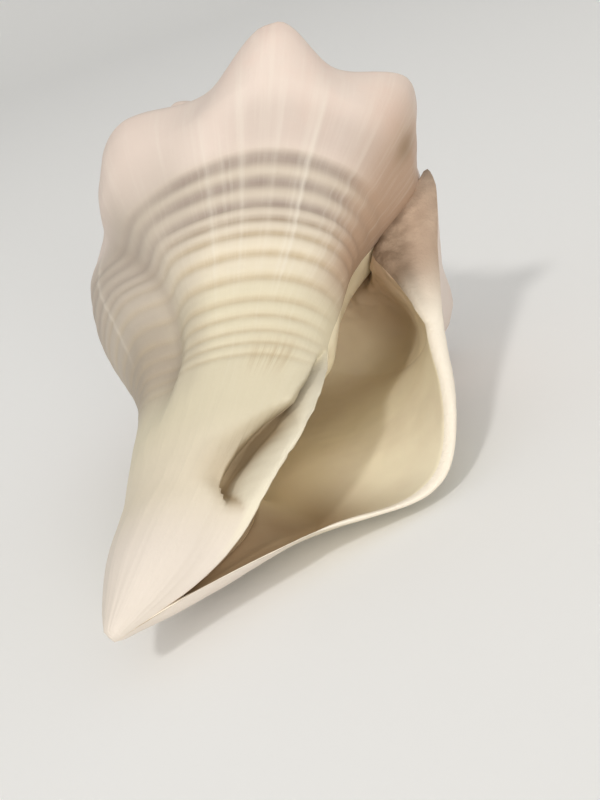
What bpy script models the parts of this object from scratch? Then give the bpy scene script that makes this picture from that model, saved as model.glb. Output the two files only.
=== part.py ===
"""Conch shell: one grown piece, a coiled spire, a knobbed body whorl, a flared lip and an open canal.

The wall is a strip that winds round the coiling axis. Each whorl starts on the suture of the
whorl before it, so the whole shell is one closed skin: the outside, the wall seen inside the
mouth, the inner face of the lip, and the rounded rim that joins them.
"""
import math

import bmesh
import bpy
import numpy as np
from mathutils import Vector

for old in list(bpy.data.objects):
    bpy.data.objects.remove(old, do_unlink=True)

# Driving dimensions. The profile is in millimetres for a shell of 200 mm, and the whole shell
# is scaled to SHELL_LENGTH. s runs from the suture (0) to the tip of the canal (1).
SHELL_LENGTH = 200.0
GROWTH_PER_TURN = 1.5
TURNS = 5.5
PROFILE_S = (0.0, 0.12, 0.24, 0.36, 0.50, 0.64, 0.76, 0.86, 0.94, 1.0)
PROFILE_RADIUS = (38.0, 49.0, 57.0, 56.6, 46.2, 33.0, 27.2, 20.6, 13.8, 1.4)
PROFILE_DEPTH = (56.0, 58.5, 67.4, 91.5, 114.0, 136.0, 155.0, 168.5, 184.0, 200.0)
SHOULDER_S = 0.27
SUTURE_S = 0.33
INNER_SUTURE_S = 0.36
# Knobs of the last whorl: whorls back from the lip, height, half width in whorls.
BODY_KNOBS = ((0.125, 20, 0.05), (0.286, 19, 0.052), (0.446, 17.5, 0.054), (0.65, 10, 0.07),
              (0.8036, 25, 0.045), (0.907, 24, 0.056), (1.025, 14, 0.07))
# Swelling below the fourth knob (whorls back, s, half widths, height) and the furrow beside it.
SWELLINGS = ((0.47, 0.50, 0.07, 0.12, 2.0), (1.03, 0.50, 0.07, 0.09, -6.0))
FURROW_S = (0.28, 0.43, 0.50, 0.54, 0.59, 0.63, 0.68)
FURROW_AT = (0.525, 0.60, 0.628, 0.638, 0.642, 0.634, 0.62)
FURROW_DEPTH = 5.0
SPIRE_KNOB_START = 1.17
SPIRE_KNOB_STEP = 0.125
SPIRE_KNOB_HEIGHT = 13.0
KNOB_LIFT = 0.28
KNOB_FOLD = 0.16
KNOB_SPREAD = 1.6
# The lip: how far it opens outwards, how far it drops and how far it runs on, along s.
LIP_REACH = 0.222
LIP_S = (0.0, 0.18, 0.34, 0.52, 0.70, 0.86, 1.0)
LIP_FLARE = (12.0, 3.0, -1.8, 13.6, 29.3, 15.5, 1.2)
LIP_DROP_S = (0.0, 0.1, 0.2, 0.3, 0.4, 0.6, 0.8, 1.0)
LIP_DROP = (13.0, 17.0, 10.0, 3.0, -1.6, -7.0, -1.8, 7.6)
LIP_RUN_S = (0.0, 0.2, 0.4, 0.6, 0.8, 1.0)
LIP_RUN = (0.02, 0.004, 0.0, -0.017, -0.04, -0.002)
LIP_ANGLE = math.radians(-10)
CANAL_BEND = (-24.7, -17.8)
TIP_LEAN = (-0.8, 0.0, -2.9)
OVAL = (-0.056, 0.069, 0.041, -0.029)
# The free inner lip and the hollow beside it.
CREST_HEIGHT = 6.0
UNDERCUT = 6.0
POCKET_DEPTH = 8.0
POCKET_ROLL = 2.2
POCKET_S = (0.64, 0.70, 0.735, 0.765, 0.80, 0.83, 0.855, 0.872, 0.89)
POCKET_WIDTH = (0.015, 0.015, 0.022, 0.066, 0.115, 0.122, 0.11, 0.075, 0.05)
POCKET_END_S = (0.70, 0.765, 0.80, 0.83, 0.87)
POCKET_END = (-0.22, -0.14, -0.22, -0.30, -0.38)
WALL = 4.0
LIP_BEVEL = 3.0
RIM_WALL = 3.2
# Share of the way to the facing wall that the thick corner at the back of the mouth fills.
CALLUS = 0.86
MOUTH_DEPTH = 0.62
# Mesh steps: columns in a turn, rows from the suture to its cover line, rows below it.
STEPS = 56
ROWS_RAMP = 7
ROWS_SIDE = 18
# The face of the hull it lies on points this way, in the frame of the coiling axis, and the
# canal and mouth are turned to the front.
LIES_ON = (0.36, 0.83, -0.43)
FRONT = (0.07, -0.81, -0.58)

TURN = 2 * math.pi
METRES = SHELL_LENGTH / PROFILE_DEPTH[-1] / 1000.0


def natural_spline(knots, values, at):
    """Natural cubic spline through a few control values."""
    k = np.asarray(knots, float)
    v = np.asarray(values, float)
    at = np.asarray(at, float)
    n = len(k)
    h = np.diff(k)
    a = np.zeros((n, n))
    b = np.zeros(n)
    a[0, 0] = 1
    a[-1, -1] = 1
    for i in range(1, n - 1):
        a[i, i - 1:i + 2] = (h[i - 1], 2 * (h[i - 1] + h[i]), h[i])
        b[i] = 6 * ((v[i + 1] - v[i]) / h[i] - (v[i] - v[i - 1]) / h[i - 1])
    m = np.linalg.solve(a, b)
    j = np.clip(np.searchsorted(k, at) - 1, 0, n - 2)
    hj = h[j]
    p = (k[j + 1] - at) / hj
    q = (at - k[j]) / hj
    return p * v[j] + q * v[j + 1] + ((p ** 3 - p) * m[j] + (q ** 3 - q) * m[j + 1]) * hj ** 2 / 6


def smooth(x):
    x = np.clip(x, 0, 1)
    return x * x * (3 - 2 * x)


def bell(x, power=2.0):
    return np.exp(-np.abs(x) ** power)


def crest_shift(s):
    """The inner lip runs a little ahead of the turn line beside the pocket."""
    wide = smooth((s - 0.50) / 0.14) * smooth((0.97 - s) / 0.14)
    return -0.042 * wide - 0.03 * smooth((s - 0.64) / 0.08) * smooth((0.97 - s) / 0.1)


def knob_height(u, s):
    """Knobs on the shoulder, each with a fold running down the side below it."""
    up = bell((s - SHOULDER_S) / 0.085)
    low = (1 - KNOB_FOLD) * up + KNOB_FOLD * bell((s - SHOULDER_S) / 0.30)
    row = np.where(s < SHOULDER_S, up, low)
    spread = 1 + KNOB_SPREAD * smooth((s - SHOULDER_S) / 0.2)
    total = 0.0
    for place, height, width in BODY_KNOBS:
        total = total + height * bell((u - place) / (width * spread), 1.8) * row
    row = np.where(s < SHOULDER_S, bell((s - SHOULDER_S) / 0.10), bell((s - SHOULDER_S) / 0.07))
    first = np.floor((u - SPIRE_KNOB_START) / SPIRE_KNOB_STEP)
    for count in (first, first + 1):
        place = SPIRE_KNOB_START + np.maximum(count, 0) * SPIRE_KNOB_STEP
        height = SPIRE_KNOB_HEIGHT * GROWTH_PER_TURN ** (1 - place) * (count >= 0)
        total = total + height * bell((u - place) / 0.042, 1.8) * row
    return total


def wall_point(u, s):
    """Outside of the shell, u whorls back from the lip, before the sutures are closed."""
    u, s = np.broadcast_arrays(np.asarray(u, float), np.asarray(s, float))
    v = u + crest_shift(s) * bell((u - 1) / 0.16)
    size = GROWTH_PER_TURN ** (-v)
    fixed = smooth((s - SHOULDER_S) / (1 - SHOULDER_S))
    z = -natural_spline(PROFILE_S, PROFILE_DEPTH, s) * ((1 - fixed) * size + fixed)
    oval = OVAL[0] * np.cos(TURN * v) + OVAL[1] * np.sin(TURN * v)
    oval = oval + OVAL[2] * np.cos(2 * TURN * v) + OVAL[3] * np.sin(2 * TURN * v)
    oval = oval * smooth((s - 0.28) / 0.2) * smooth((1.02 - s) / 0.3)
    r = natural_spline(PROFILE_S, PROFILE_RADIUS, s) * size ** (1 - 0.5 * fixed) * (1 + oval)
    knob = knob_height(v, s)
    r = r + knob * math.cos(KNOB_LIFT)
    z = z + knob * math.sin(KNOB_LIFT) * np.where(s < SHOULDER_S, 1, bell((s - SHOULDER_S) / 0.12))
    for place, row, across, along, height in SWELLINGS:
        r = r + height * bell((v - place) / across) * bell((s - row) / along)
    line = np.interp(s, FURROW_S, FURROW_AT)
    r = r - FURROW_DEPTH * bell((v - line) / 0.035) * smooth((s - 0.26) / 0.1) * smooth((0.76 - s) / 0.12)
    # the hollow beside the inner lip, and the lip's own crest
    x = (u - 1) / np.interp(s, POCKET_S, POCKET_WIDTH)
    along = smooth((s - 0.645) / 0.03) * smooth((0.89 - s) / 0.05)
    hollow = POCKET_DEPTH * smooth((x + 1) / 0.22) + POCKET_ROLL * smooth((x + 1.8) / 0.8)
    end = np.interp(s, POCKET_END_S, POCKET_END)
    r = r - hollow * along * (1 - smooth((x - end) / np.minimum(0.3, -0.85 * end)))
    beside = smooth((s - 0.635) / 0.09) * smooth((1.0 - s) / 0.14)
    r = r + CREST_HEIGHT * beside * bell((u - 1) / np.where(u < 1, 0.03, 0.018), 1.5)
    beside = smooth((s - 0.62) / 0.06) * smooth((0.92 - s) / 0.14)
    r = r - UNDERCUT * beside * smooth((u - 1) / 0.05) * (1 - smooth((u - 1.12) / 0.2))
    # the lip opens out over the last fifth of a turn
    open_up = np.clip(1 - v / LIP_REACH, 0, 2) ** 2
    r = r + natural_spline(LIP_S, LIP_FLARE, s) * open_up
    z = z + natural_spline(LIP_DROP_S, LIP_DROP, s) * open_up
    angle = LIP_ANGLE + TURN * (v - natural_spline(LIP_RUN_S, LIP_RUN, s) * open_up)
    bend = np.clip((-z - 120) / 80, 0, 1.3) ** 1.6
    lean = smooth((s - 0.88) / 0.12)
    x = r * np.cos(angle) + CANAL_BEND[0] * bend + TIP_LEAN[0] * lean
    y = r * np.sin(angle) + CANAL_BEND[1] * bend + TIP_LEAN[1] * lean
    return np.stack([x, y, z + TIP_LEAN[2] * lean], -1)


def suture_pull(s):
    return np.clip(1 - np.asarray(s, float) / 0.24, 0, 1) ** 2


def channel_end(u):
    """Where the inside of the canal meets the column, u whorls in from the mouth."""
    return 0.72 + 0.28 * np.exp(-np.asarray(u, float) / 0.18)


def build_mesh(steps, rows_ramp, rows_side, rim_rows, side_t=(0, 1), side_s=(0.36, 1)):
    """One closed skin. Returns points in millimetres, faces, and each point's place (u, s, part)."""
    rows = rows_ramp + rim_rows + rows_side
    cover = rows_ramp
    inner = rows_ramp + rim_rows
    ramp = np.interp(np.linspace(0, 1, rows_ramp + 1), (0, 0.45, 0.86, 1), (0, 0.20, 0.27, SUTURE_S))
    ramp[np.argmin(abs(ramp - SHOULDER_S))] = SHOULDER_S
    s_row = np.concatenate([ramp, np.linspace(SUTURE_S, INNER_SUTURE_S, rim_rows + 1)[1:],
                            np.interp(np.linspace(0, 1, rows_side + 1), side_t, side_s)[1:]])
    last = int(round(steps * TURNS))
    deep = int(round(steps * MOUTH_DEPTH))
    # how far each column moves so that its suture lies on the whorl before it
    column = np.arange(-1, last + 1) / steps
    start = wall_point(column, 0.0)
    landing = wall_point(column + 1, SUTURE_S)
    shift = np.zeros((last + 2, 3))
    for i in range(last - steps + 1, -1, -1):
        before = shift[i + steps] if i + steps <= last + 1 else 0.0
        shift[i] = landing[i] + before * suture_pull(SUTURE_S) - start[i]

    def skin(i, s):
        """Points of column numbers i and rows s, with the sutures closed."""
        i = np.asarray(i)
        return wall_point(i / steps, s) + shift[i + 1] * suture_pull(s)[..., None]

    points = []
    places = []
    index = {}

    def add(key, p, place):
        index[key] = len(points)
        points.append(p)
        places.append(place)

    # outside: older whorls show only down to the next suture
    body = skin(np.arange(steps + 1)[:, None], s_row[None, :])
    spire = skin(np.arange(steps + 1, last + 1)[:, None], s_row[None, :cover + 1])
    for i in range(last, -1, -1):
        stop = rows if i <= steps else cover
        block = body[i] if i <= steps else spire[i - steps - 1]
        for j in range(stop + 1):
            if j == 0 and i + steps <= last:
                index[("out", i, 0)] = index[("out", i + steps, cover)]
            elif j == rows:
                if ("tip",) not in index:
                    add(("tip",), block[j], (0.5, 1.0, 0.0))
                index[("out", i, j)] = index[("tip",)]
            else:
                add(("out", i, j), block[j], (i / steps, s_row[j], 0.0))
    # the wall inside the mouth, and the inner face of the outer wall
    columns = np.arange(deep + 1)[:, None]
    u = columns / steps
    share = (s_row[inner:] - s_row[inner]) / (1 - s_row[inner])
    s_wall = s_row[inner] + share[None, :] * (channel_end(u) - s_row[inner])
    wall = skin(columns + steps, s_wall)
    outside = skin(columns, s_row[None, :] * channel_end(u))
    s_facing = s_row[inner] + s_row[None, :] * (channel_end(u) - s_row[inner])
    facing = skin(columns + steps, s_facing)
    gap = np.linalg.norm(outside - facing, axis=-1)
    bevel = LIP_BEVEL * bell((s_row - 0.32) / 0.2) * (1 - smooth(u / 0.1))
    thick = RIM_WALL + bevel + (WALL - RIM_WALL) * smooth(u / 0.15)
    thick = thick * (0.12 + 0.88 * smooth((1 - s_row) / 0.18))
    near = np.minimum(thick / np.maximum(gap, 1e-6), 0.9)
    near = near + (1 - near) * np.clip(1 - s_row / 0.10, 0, 1) ** 2
    callus = CALLUS * (1 - smooth((s_row - 0.12) / 0.42)) * (1 - smooth((u - 0.03) / 0.38))
    near = np.maximum(near, callus)
    blend = 0.09 + 0.03 * smooth(u / 0.12)
    near = near + (1 - near) * smooth((s_row[None, :] - 1 + blend) / blend)
    inside = outside + (facing - outside) * near[..., None]
    for i in range(deep + 1):
        for k in range(rows_side + 1):
            if i == 0:
                index[("wall", 0, k)] = index[("out", steps, inner + k)]
            else:
                add(("wall", i, k), wall[i, k], (1 + i / steps, s_wall[i, k], 1.0))
        for j in range(rows + 1):
            if j == 0:
                index[("in", i, 0)] = index[("wall", i, 0)]
            elif j == rows:
                index[("in", i, j)] = index[("wall", i, rows_side)]
            else:
                add(("in", i, j), inside[i, j], (i / steps, s_row[j], 2.0))
    # the rounded rim of the lip
    ahead = skin(0, s_row) - skin(1, s_row)
    ahead = ahead / np.maximum(np.linalg.norm(ahead, axis=-1, keepdims=True), 1e-9)
    width = np.minimum(np.linalg.norm(outside[0] - inside[0], axis=-1, keepdims=True), RIM_WALL)
    for q in range(rim_rows + 1):
        t = q / rim_rows
        for j in range(rows + 1):
            if q == 0:
                index[("rim", q, j)] = index[("out", 0, j)]
            elif q == rim_rows:
                index[("rim", q, j)] = index[("in", 0, j)]
            elif j == 0:
                index[("rim", q, j)] = index[("out", steps, cover + q)]
            elif j == rows:
                index[("rim", q, j)] = index[("tip",)]
            else:
                p = outside[0, j] * (1 - t) + inside[0, j] * t
                taper = min(1.0, s_row[j] / 0.08, (1 - s_row[j]) / 0.15)
                p = p + ahead[j] * width[j] * 0.5 * math.sin(math.pi * t) * taper
                add(("rim", q, j), p, (0.0, s_row[j], 3.0))

    faces = []

    def patch(loop):
        unique = [v for n, v in enumerate(loop) if v not in loop[:n]]
        if len(unique) > 2:
            faces.append(unique)

    def sheet(name, columns, stop):
        for i in range(columns):
            for j in range(stop(i)):
                patch([index[(name, i, j + 1)], index[(name, i + 1, j + 1)],
                       index[(name, i + 1, j)], index[(name, i, j)]])

    def turned_sheet(name, columns, stop):
        for i in range(columns):
            for j in range(stop):
                patch([index[(name, i + 1, j + 1)], index[(name, i, j + 1)],
                       index[(name, i, j)], index[(name, i + 1, j)]])

    sheet("out", last, lambda i: rows if i < steps else cover)
    sheet("wall", deep, lambda i: rows_side)
    turned_sheet("in", deep, rows)
    turned_sheet("rim", rim_rows, rows)
    # the blind end of the mouth
    a, b = 0, 0
    while a < rows or b < rows_side:
        if b >= rows_side or (a < rows and (a + 1) / rows <= (b + 1) / rows_side):
            patch([index[("wall", deep, b)], index[("in", deep, a + 1)], index[("in", deep, a)]])
            a += 1
        else:
            patch([index[("wall", deep, b)], index[("wall", deep, b + 1)], index[("in", deep, a)]])
            b += 1
    # the apex
    ring = [index[("out", i, 0)] for i in range(last - steps, last + 1)]
    ring += [index[("out", last, j)] for j in range(1, cover)]
    centre = np.mean([points[v] for v in ring], axis=0)
    top = len(points)
    points.append(centre + np.array([0, 0, 0.5 * np.linalg.norm(points[ring[0]] - centre)]))
    places.append((TURNS, 0.0, 0.0))
    for v, w in zip(ring, ring[1:] + ring[:1]):
        patch([v, w, top])
    return np.array(points), faces, np.array(places)


def resting_turn(points, faces):
    """Rotation that lays the shell on the stable face of its convex hull nearest to LIES_ON."""
    total = 0.0
    centre = np.zeros(3)
    for face in faces:
        for k in range(1, len(face) - 1):
            a, b, c = points[face[0]], points[face[k]], points[face[k + 1]]
            volume = np.dot(a, np.cross(b, c))
            total += volume
            centre += volume * (a + b + c) / 4
    centre /= total
    bm = bmesh.new()
    for p in points:
        bm.verts.new(Vector(p))
    hull = bmesh.ops.convex_hull(bm, input=bm.verts[:], use_existing_faces=False)
    best = None
    for face in [g for g in hull["geom"] if isinstance(g, bmesh.types.BMFace)]:
        corners = [np.array(v.co) for v in face.verts]
        n = np.cross(corners[1] - corners[0], corners[2] - corners[0])
        n /= max(np.linalg.norm(n), 1e-12)
        if np.dot(n, corners[0] - centre) < 0:
            n = -n
            corners.reverse()
        foot = centre + n * np.dot(n, corners[0] - centre)
        sides = zip(corners, corners[1:] + corners[:1])
        inside = all(np.dot(np.cross(end - start, foot - start), n) > 0 for start, end in sides)
        score = np.dot(n, LIES_ON)
        if inside and (best is None or score > best[0]):
            best = (score, n)
    bm.free()
    up = -best[1]
    front = np.array(FRONT) - up * np.dot(FRONT, up)
    front /= np.linalg.norm(front)
    side = np.cross(up, front)
    return np.array([side, -front, up])


def main():
    points, faces, _ = build_mesh(STEPS, ROWS_RAMP, ROWS_SIDE, 2)
    turned = points @ resting_turn(points, faces).T * METRES
    low = turned.min(axis=0)
    high = turned.max(axis=0)
    turned = turned - np.array([(low[0] + high[0]) / 2, (low[1] + high[1]) / 2, low[2]])
    mesh = bpy.data.meshes.new("shell")
    mesh.from_pydata([Vector(p) for p in turned], [], faces)
    bm = bmesh.new()
    bm.from_mesh(mesh)
    bmesh.ops.triangulate(bm, faces=bm.faces)
    bmesh.ops.recalc_face_normals(bm, faces=bm.faces)
    bm.to_mesh(mesh)
    bm.free()
    shell = bpy.data.objects.new("shell", mesh)
    bpy.context.scene.collection.objects.link(shell)
    cream = bpy.data.materials.new("shell_cream")
    cream.use_nodes = True
    surface = cream.node_tree.nodes["Principled BSDF"]
    surface.inputs["Base Color"].default_value = (0.82, 0.72, 0.60, 1)
    surface.inputs["Roughness"].default_value = 0.5
    surface.inputs["Metallic"].default_value = 0.0
    mesh.materials.append(cream)


main()
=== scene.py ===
# %% [markdown]
# # A conch shell
# A conch grows by adding a strip of shell along the edge of its mouth, so one rule describes all
# of it: a profile that winds round an axis and gets bigger by the same factor in each turn.
# This lesson builds that strip once, adds its fine relief with Geometry Nodes, and finishes it
# with chalky and porcelain-like materials. Lengths are in millimetres until the mesh is made.

# %% Load the frame
import math

import bpy
import numpy as np
from mathutils import Matrix, Vector


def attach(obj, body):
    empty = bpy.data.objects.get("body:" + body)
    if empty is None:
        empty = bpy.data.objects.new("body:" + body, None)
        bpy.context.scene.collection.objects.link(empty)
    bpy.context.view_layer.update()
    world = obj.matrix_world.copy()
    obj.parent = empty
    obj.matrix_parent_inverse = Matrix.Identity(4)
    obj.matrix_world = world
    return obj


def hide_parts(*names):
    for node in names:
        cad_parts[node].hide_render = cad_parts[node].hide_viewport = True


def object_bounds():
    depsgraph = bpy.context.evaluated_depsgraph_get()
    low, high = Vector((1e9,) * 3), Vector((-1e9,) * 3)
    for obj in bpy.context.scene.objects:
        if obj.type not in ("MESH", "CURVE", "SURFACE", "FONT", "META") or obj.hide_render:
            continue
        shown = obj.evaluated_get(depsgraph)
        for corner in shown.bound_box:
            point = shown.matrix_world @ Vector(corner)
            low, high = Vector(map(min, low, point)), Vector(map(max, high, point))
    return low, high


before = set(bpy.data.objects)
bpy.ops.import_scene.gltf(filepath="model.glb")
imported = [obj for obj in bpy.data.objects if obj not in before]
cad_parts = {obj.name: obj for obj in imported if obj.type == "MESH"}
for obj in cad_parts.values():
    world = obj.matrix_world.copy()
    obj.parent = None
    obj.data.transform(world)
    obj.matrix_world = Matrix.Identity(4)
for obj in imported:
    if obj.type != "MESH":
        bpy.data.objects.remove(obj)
cad_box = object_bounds()
print("packed shell", [round(1000 * (h - l), 1) for l, h in zip(*cad_box)], "mm")

# %% [markdown]
# ## The sizes of the shell
# A real shell has no drawing, so its sizes are a few control values: a profile from the suture to
# the tip of the canal, how much each turn grows, where the knobs stand and how far the lip opens.
# Many of them began as the result of a fit to the photograph's outline and marks, and some were
# changed afterwards. They could be typed as hundreds of points, but a few values joined by
# splines stay smooth and are easy to change.

# %% Sizes
SHELL_LENGTH = 200.0
GROWTH_PER_TURN = 1.5
TURNS = 5.5
PROFILE_S = (0.0, 0.12, 0.24, 0.36, 0.50, 0.64, 0.76, 0.86, 0.94, 1.0)
PROFILE_RADIUS = (38.0, 49.0, 57.0, 56.6, 46.2, 33.0, 27.2, 20.6, 13.8, 1.4)
PROFILE_DEPTH = (56.0, 58.5, 67.4, 91.5, 114.0, 136.0, 155.0, 168.5, 184.0, 200.0)
SHOULDER_S = 0.27
SUTURE_S = 0.33
INNER_SUTURE_S = 0.36
# Knobs of the last whorl: whorls back from the lip, height, half width in whorls.
BODY_KNOBS = ((0.125, 20, 0.05), (0.286, 19, 0.052), (0.446, 17.5, 0.054), (0.65, 10, 0.07),
              (0.8036, 25, 0.045), (0.907, 24, 0.056), (1.025, 14, 0.07))
# Swelling below the fourth knob (whorls back, s, half widths, height) and the furrow beside it.
SWELLINGS = ((0.47, 0.50, 0.07, 0.12, 2.0), (1.03, 0.50, 0.07, 0.09, -6.0))
FURROW_S = (0.28, 0.43, 0.50, 0.54, 0.59, 0.63, 0.68)
FURROW_AT = (0.525, 0.60, 0.628, 0.638, 0.642, 0.634, 0.62)
FURROW_DEPTH = 5.0
SPIRE_KNOB_START = 1.17
SPIRE_KNOB_STEP = 0.125
SPIRE_KNOB_HEIGHT = 13.0
KNOB_LIFT = 0.28
KNOB_FOLD = 0.16
KNOB_SPREAD = 1.6
# The lip: how far it opens outwards, how far it drops and how far it runs on, along s.
LIP_REACH = 0.222
LIP_S = (0.0, 0.18, 0.34, 0.52, 0.70, 0.86, 1.0)
LIP_FLARE = (12.0, 3.0, -1.8, 13.6, 29.3, 15.5, 1.2)
LIP_DROP_S = (0.0, 0.1, 0.2, 0.3, 0.4, 0.6, 0.8, 1.0)
LIP_DROP = (13.0, 17.0, 10.0, 3.0, -1.6, -7.0, -1.8, 7.6)
LIP_RUN_S = (0.0, 0.2, 0.4, 0.6, 0.8, 1.0)
LIP_RUN = (0.02, 0.004, 0.0, -0.017, -0.04, -0.002)
LIP_ANGLE = math.radians(-10)
CANAL_BEND = (-24.7, -17.8)
TIP_LEAN = (-0.8, 0.0, -2.9)
OVAL = (-0.056, 0.069, 0.041, -0.029)
# The free inner lip and the hollow beside it.
CREST_HEIGHT = 6.0
UNDERCUT = 6.0
POCKET_DEPTH = 8.0
POCKET_ROLL = 2.2
POCKET_S = (0.64, 0.70, 0.735, 0.765, 0.80, 0.83, 0.855, 0.872, 0.89)
POCKET_WIDTH = (0.015, 0.015, 0.022, 0.066, 0.115, 0.122, 0.11, 0.075, 0.05)
POCKET_END_S = (0.70, 0.765, 0.80, 0.83, 0.87)
POCKET_END = (-0.22, -0.14, -0.22, -0.30, -0.38)
WALL = 4.0
LIP_BEVEL = 3.0
RIM_WALL = 3.2
# Share of the way to the facing wall that the thick corner at the back of the mouth fills.
CALLUS = 0.86
MOUTH_DEPTH = 0.62

TURN = 2 * math.pi
METRES = SHELL_LENGTH / PROFILE_DEPTH[-1] / 1000

# %% [markdown]
# ## Smooth curves from a few values
# A natural cubic spline passes through every control value and bends as little as it can, as a
# thin wooden batten does. Two more helpers give a soft step and a bell, which shape the knobs,
# the furrow and the hollow beside the inner lip.

# %% Curves
def natural_spline(knots, values, at):
    """Natural cubic spline through a few control values."""
    k = np.asarray(knots, float)
    v = np.asarray(values, float)
    at = np.asarray(at, float)
    n = len(k)
    h = np.diff(k)
    a = np.zeros((n, n))
    b = np.zeros(n)
    a[0, 0] = 1
    a[-1, -1] = 1
    for i in range(1, n - 1):
        a[i, i - 1:i + 2] = (h[i - 1], 2 * (h[i - 1] + h[i]), h[i])
        b[i] = 6 * ((v[i + 1] - v[i]) / h[i] - (v[i] - v[i - 1]) / h[i - 1])
    m = np.linalg.solve(a, b)
    j = np.clip(np.searchsorted(k, at) - 1, 0, n - 2)
    hj = h[j]
    p = (k[j + 1] - at) / hj
    q = (at - k[j]) / hj
    return p * v[j] + q * v[j + 1] + ((p ** 3 - p) * m[j] + (q ** 3 - q) * m[j + 1]) * hj ** 2 / 6


def smooth(x):
    x = np.clip(x, 0, 1)
    return x * x * (3 - 2 * x)


def bell(x, power=2.0):
    return np.exp(-np.abs(x) ** power)


# %% [markdown]
# ## Knobs and the edge of the inner lip
# The knobs mark the places where the animal paused and built a corner into its lip. Each is a
# bell on the shoulder with a low fold running down from it. On the spire they come at even
# steps, on the last whorl each has its own place and height, as in the photograph.

# %% Knobs and crest
def crest_shift(s):
    """The inner lip runs a little ahead of the turn line beside the pocket."""
    wide = smooth((s - 0.50) / 0.14) * smooth((0.97 - s) / 0.14)
    return -0.042 * wide - 0.03 * smooth((s - 0.64) / 0.08) * smooth((0.97 - s) / 0.1)


def knob_height(u, s):
    """Knobs on the shoulder, each with a fold running down the side below it."""
    up = bell((s - SHOULDER_S) / 0.085)
    low = (1 - KNOB_FOLD) * up + KNOB_FOLD * bell((s - SHOULDER_S) / 0.30)
    row = np.where(s < SHOULDER_S, up, low)
    spread = 1 + KNOB_SPREAD * smooth((s - SHOULDER_S) / 0.2)
    total = 0.0
    for place, height, width in BODY_KNOBS:
        total = total + height * bell((u - place) / (width * spread), 1.8) * row
    row = np.where(s < SHOULDER_S, bell((s - SHOULDER_S) / 0.10), bell((s - SHOULDER_S) / 0.07))
    first = np.floor((u - SPIRE_KNOB_START) / SPIRE_KNOB_STEP)
    for count in (first, first + 1):
        place = SPIRE_KNOB_START + np.maximum(count, 0) * SPIRE_KNOB_STEP
        height = SPIRE_KNOB_HEIGHT * GROWTH_PER_TURN ** (1 - place) * (count >= 0)
        total = total + height * bell((u - place) / 0.042, 1.8) * row
    return total


# %% [markdown]
# ## One rule for the whole outside
# `wall_point` answers one question: where is the outside, u whorls back from the lip and a
# fraction s of the way from the suture to the canal? The spire part shrinks with u, the canal
# part keeps its length, and the lip, the furrow, the hollow and the bend of the canal are added
# on top. A function is used rather than sculpting because the wall seen inside the mouth is the
# same rule, read one whorl further back.

# %% The outside
def wall_point(u, s):
    """Outside of the shell, u whorls back from the lip, before the sutures are closed."""
    u, s = np.broadcast_arrays(np.asarray(u, float), np.asarray(s, float))
    v = u + crest_shift(s) * bell((u - 1) / 0.16)
    size = GROWTH_PER_TURN ** (-v)
    fixed = smooth((s - SHOULDER_S) / (1 - SHOULDER_S))
    z = -natural_spline(PROFILE_S, PROFILE_DEPTH, s) * ((1 - fixed) * size + fixed)
    oval = OVAL[0] * np.cos(TURN * v) + OVAL[1] * np.sin(TURN * v)
    oval = oval + OVAL[2] * np.cos(2 * TURN * v) + OVAL[3] * np.sin(2 * TURN * v)
    oval = oval * smooth((s - 0.28) / 0.2) * smooth((1.02 - s) / 0.3)
    r = natural_spline(PROFILE_S, PROFILE_RADIUS, s) * size ** (1 - 0.5 * fixed) * (1 + oval)
    knob = knob_height(v, s)
    r = r + knob * math.cos(KNOB_LIFT)
    z = z + knob * math.sin(KNOB_LIFT) * np.where(s < SHOULDER_S, 1, bell((s - SHOULDER_S) / 0.12))
    for place, row, across, along, height in SWELLINGS:
        r = r + height * bell((v - place) / across) * bell((s - row) / along)
    line = np.interp(s, FURROW_S, FURROW_AT)
    r = r - FURROW_DEPTH * bell((v - line) / 0.035) * smooth((s - 0.26) / 0.1) * smooth((0.76 - s) / 0.12)
    # the hollow beside the inner lip, and the lip's own crest
    x = (u - 1) / np.interp(s, POCKET_S, POCKET_WIDTH)
    along = smooth((s - 0.645) / 0.03) * smooth((0.89 - s) / 0.05)
    hollow = POCKET_DEPTH * smooth((x + 1) / 0.22) + POCKET_ROLL * smooth((x + 1.8) / 0.8)
    end = np.interp(s, POCKET_END_S, POCKET_END)
    r = r - hollow * along * (1 - smooth((x - end) / np.minimum(0.3, -0.85 * end)))
    beside = smooth((s - 0.635) / 0.09) * smooth((1.0 - s) / 0.14)
    r = r + CREST_HEIGHT * beside * bell((u - 1) / np.where(u < 1, 0.03, 0.018), 1.5)
    beside = smooth((s - 0.62) / 0.06) * smooth((0.92 - s) / 0.14)
    r = r - UNDERCUT * beside * smooth((u - 1) / 0.05) * (1 - smooth((u - 1.12) / 0.2))
    # the lip opens out over the last fifth of a turn
    open_up = np.clip(1 - v / LIP_REACH, 0, 2) ** 2
    r = r + natural_spline(LIP_S, LIP_FLARE, s) * open_up
    z = z + natural_spline(LIP_DROP_S, LIP_DROP, s) * open_up
    angle = LIP_ANGLE + TURN * (v - natural_spline(LIP_RUN_S, LIP_RUN, s) * open_up)
    bend = np.clip((-z - 120) / 80, 0, 1.3) ** 1.6
    lean = smooth((s - 0.88) / 0.12)
    x = r * np.cos(angle) + CANAL_BEND[0] * bend + TIP_LEAN[0] * lean
    y = r * np.sin(angle) + CANAL_BEND[1] * bend + TIP_LEAN[1] * lean
    return np.stack([x, y, z + TIP_LEAN[2] * lean], -1)


# %% [markdown]
# ## Closing the sutures
# Each whorl is glued to the one before it. The start of every column is pulled onto the older
# whorl, and the pull fades out before it reaches the shoulder.

# %% Sutures and canal
def suture_pull(s):
    return np.clip(1 - np.asarray(s, float) / 0.24, 0, 1) ** 2


def channel_end(u):
    """Where the inside of the canal meets the column, u whorls in from the mouth."""
    return 0.72 + 0.28 * np.exp(-np.asarray(u, float) / 0.18)


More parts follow.
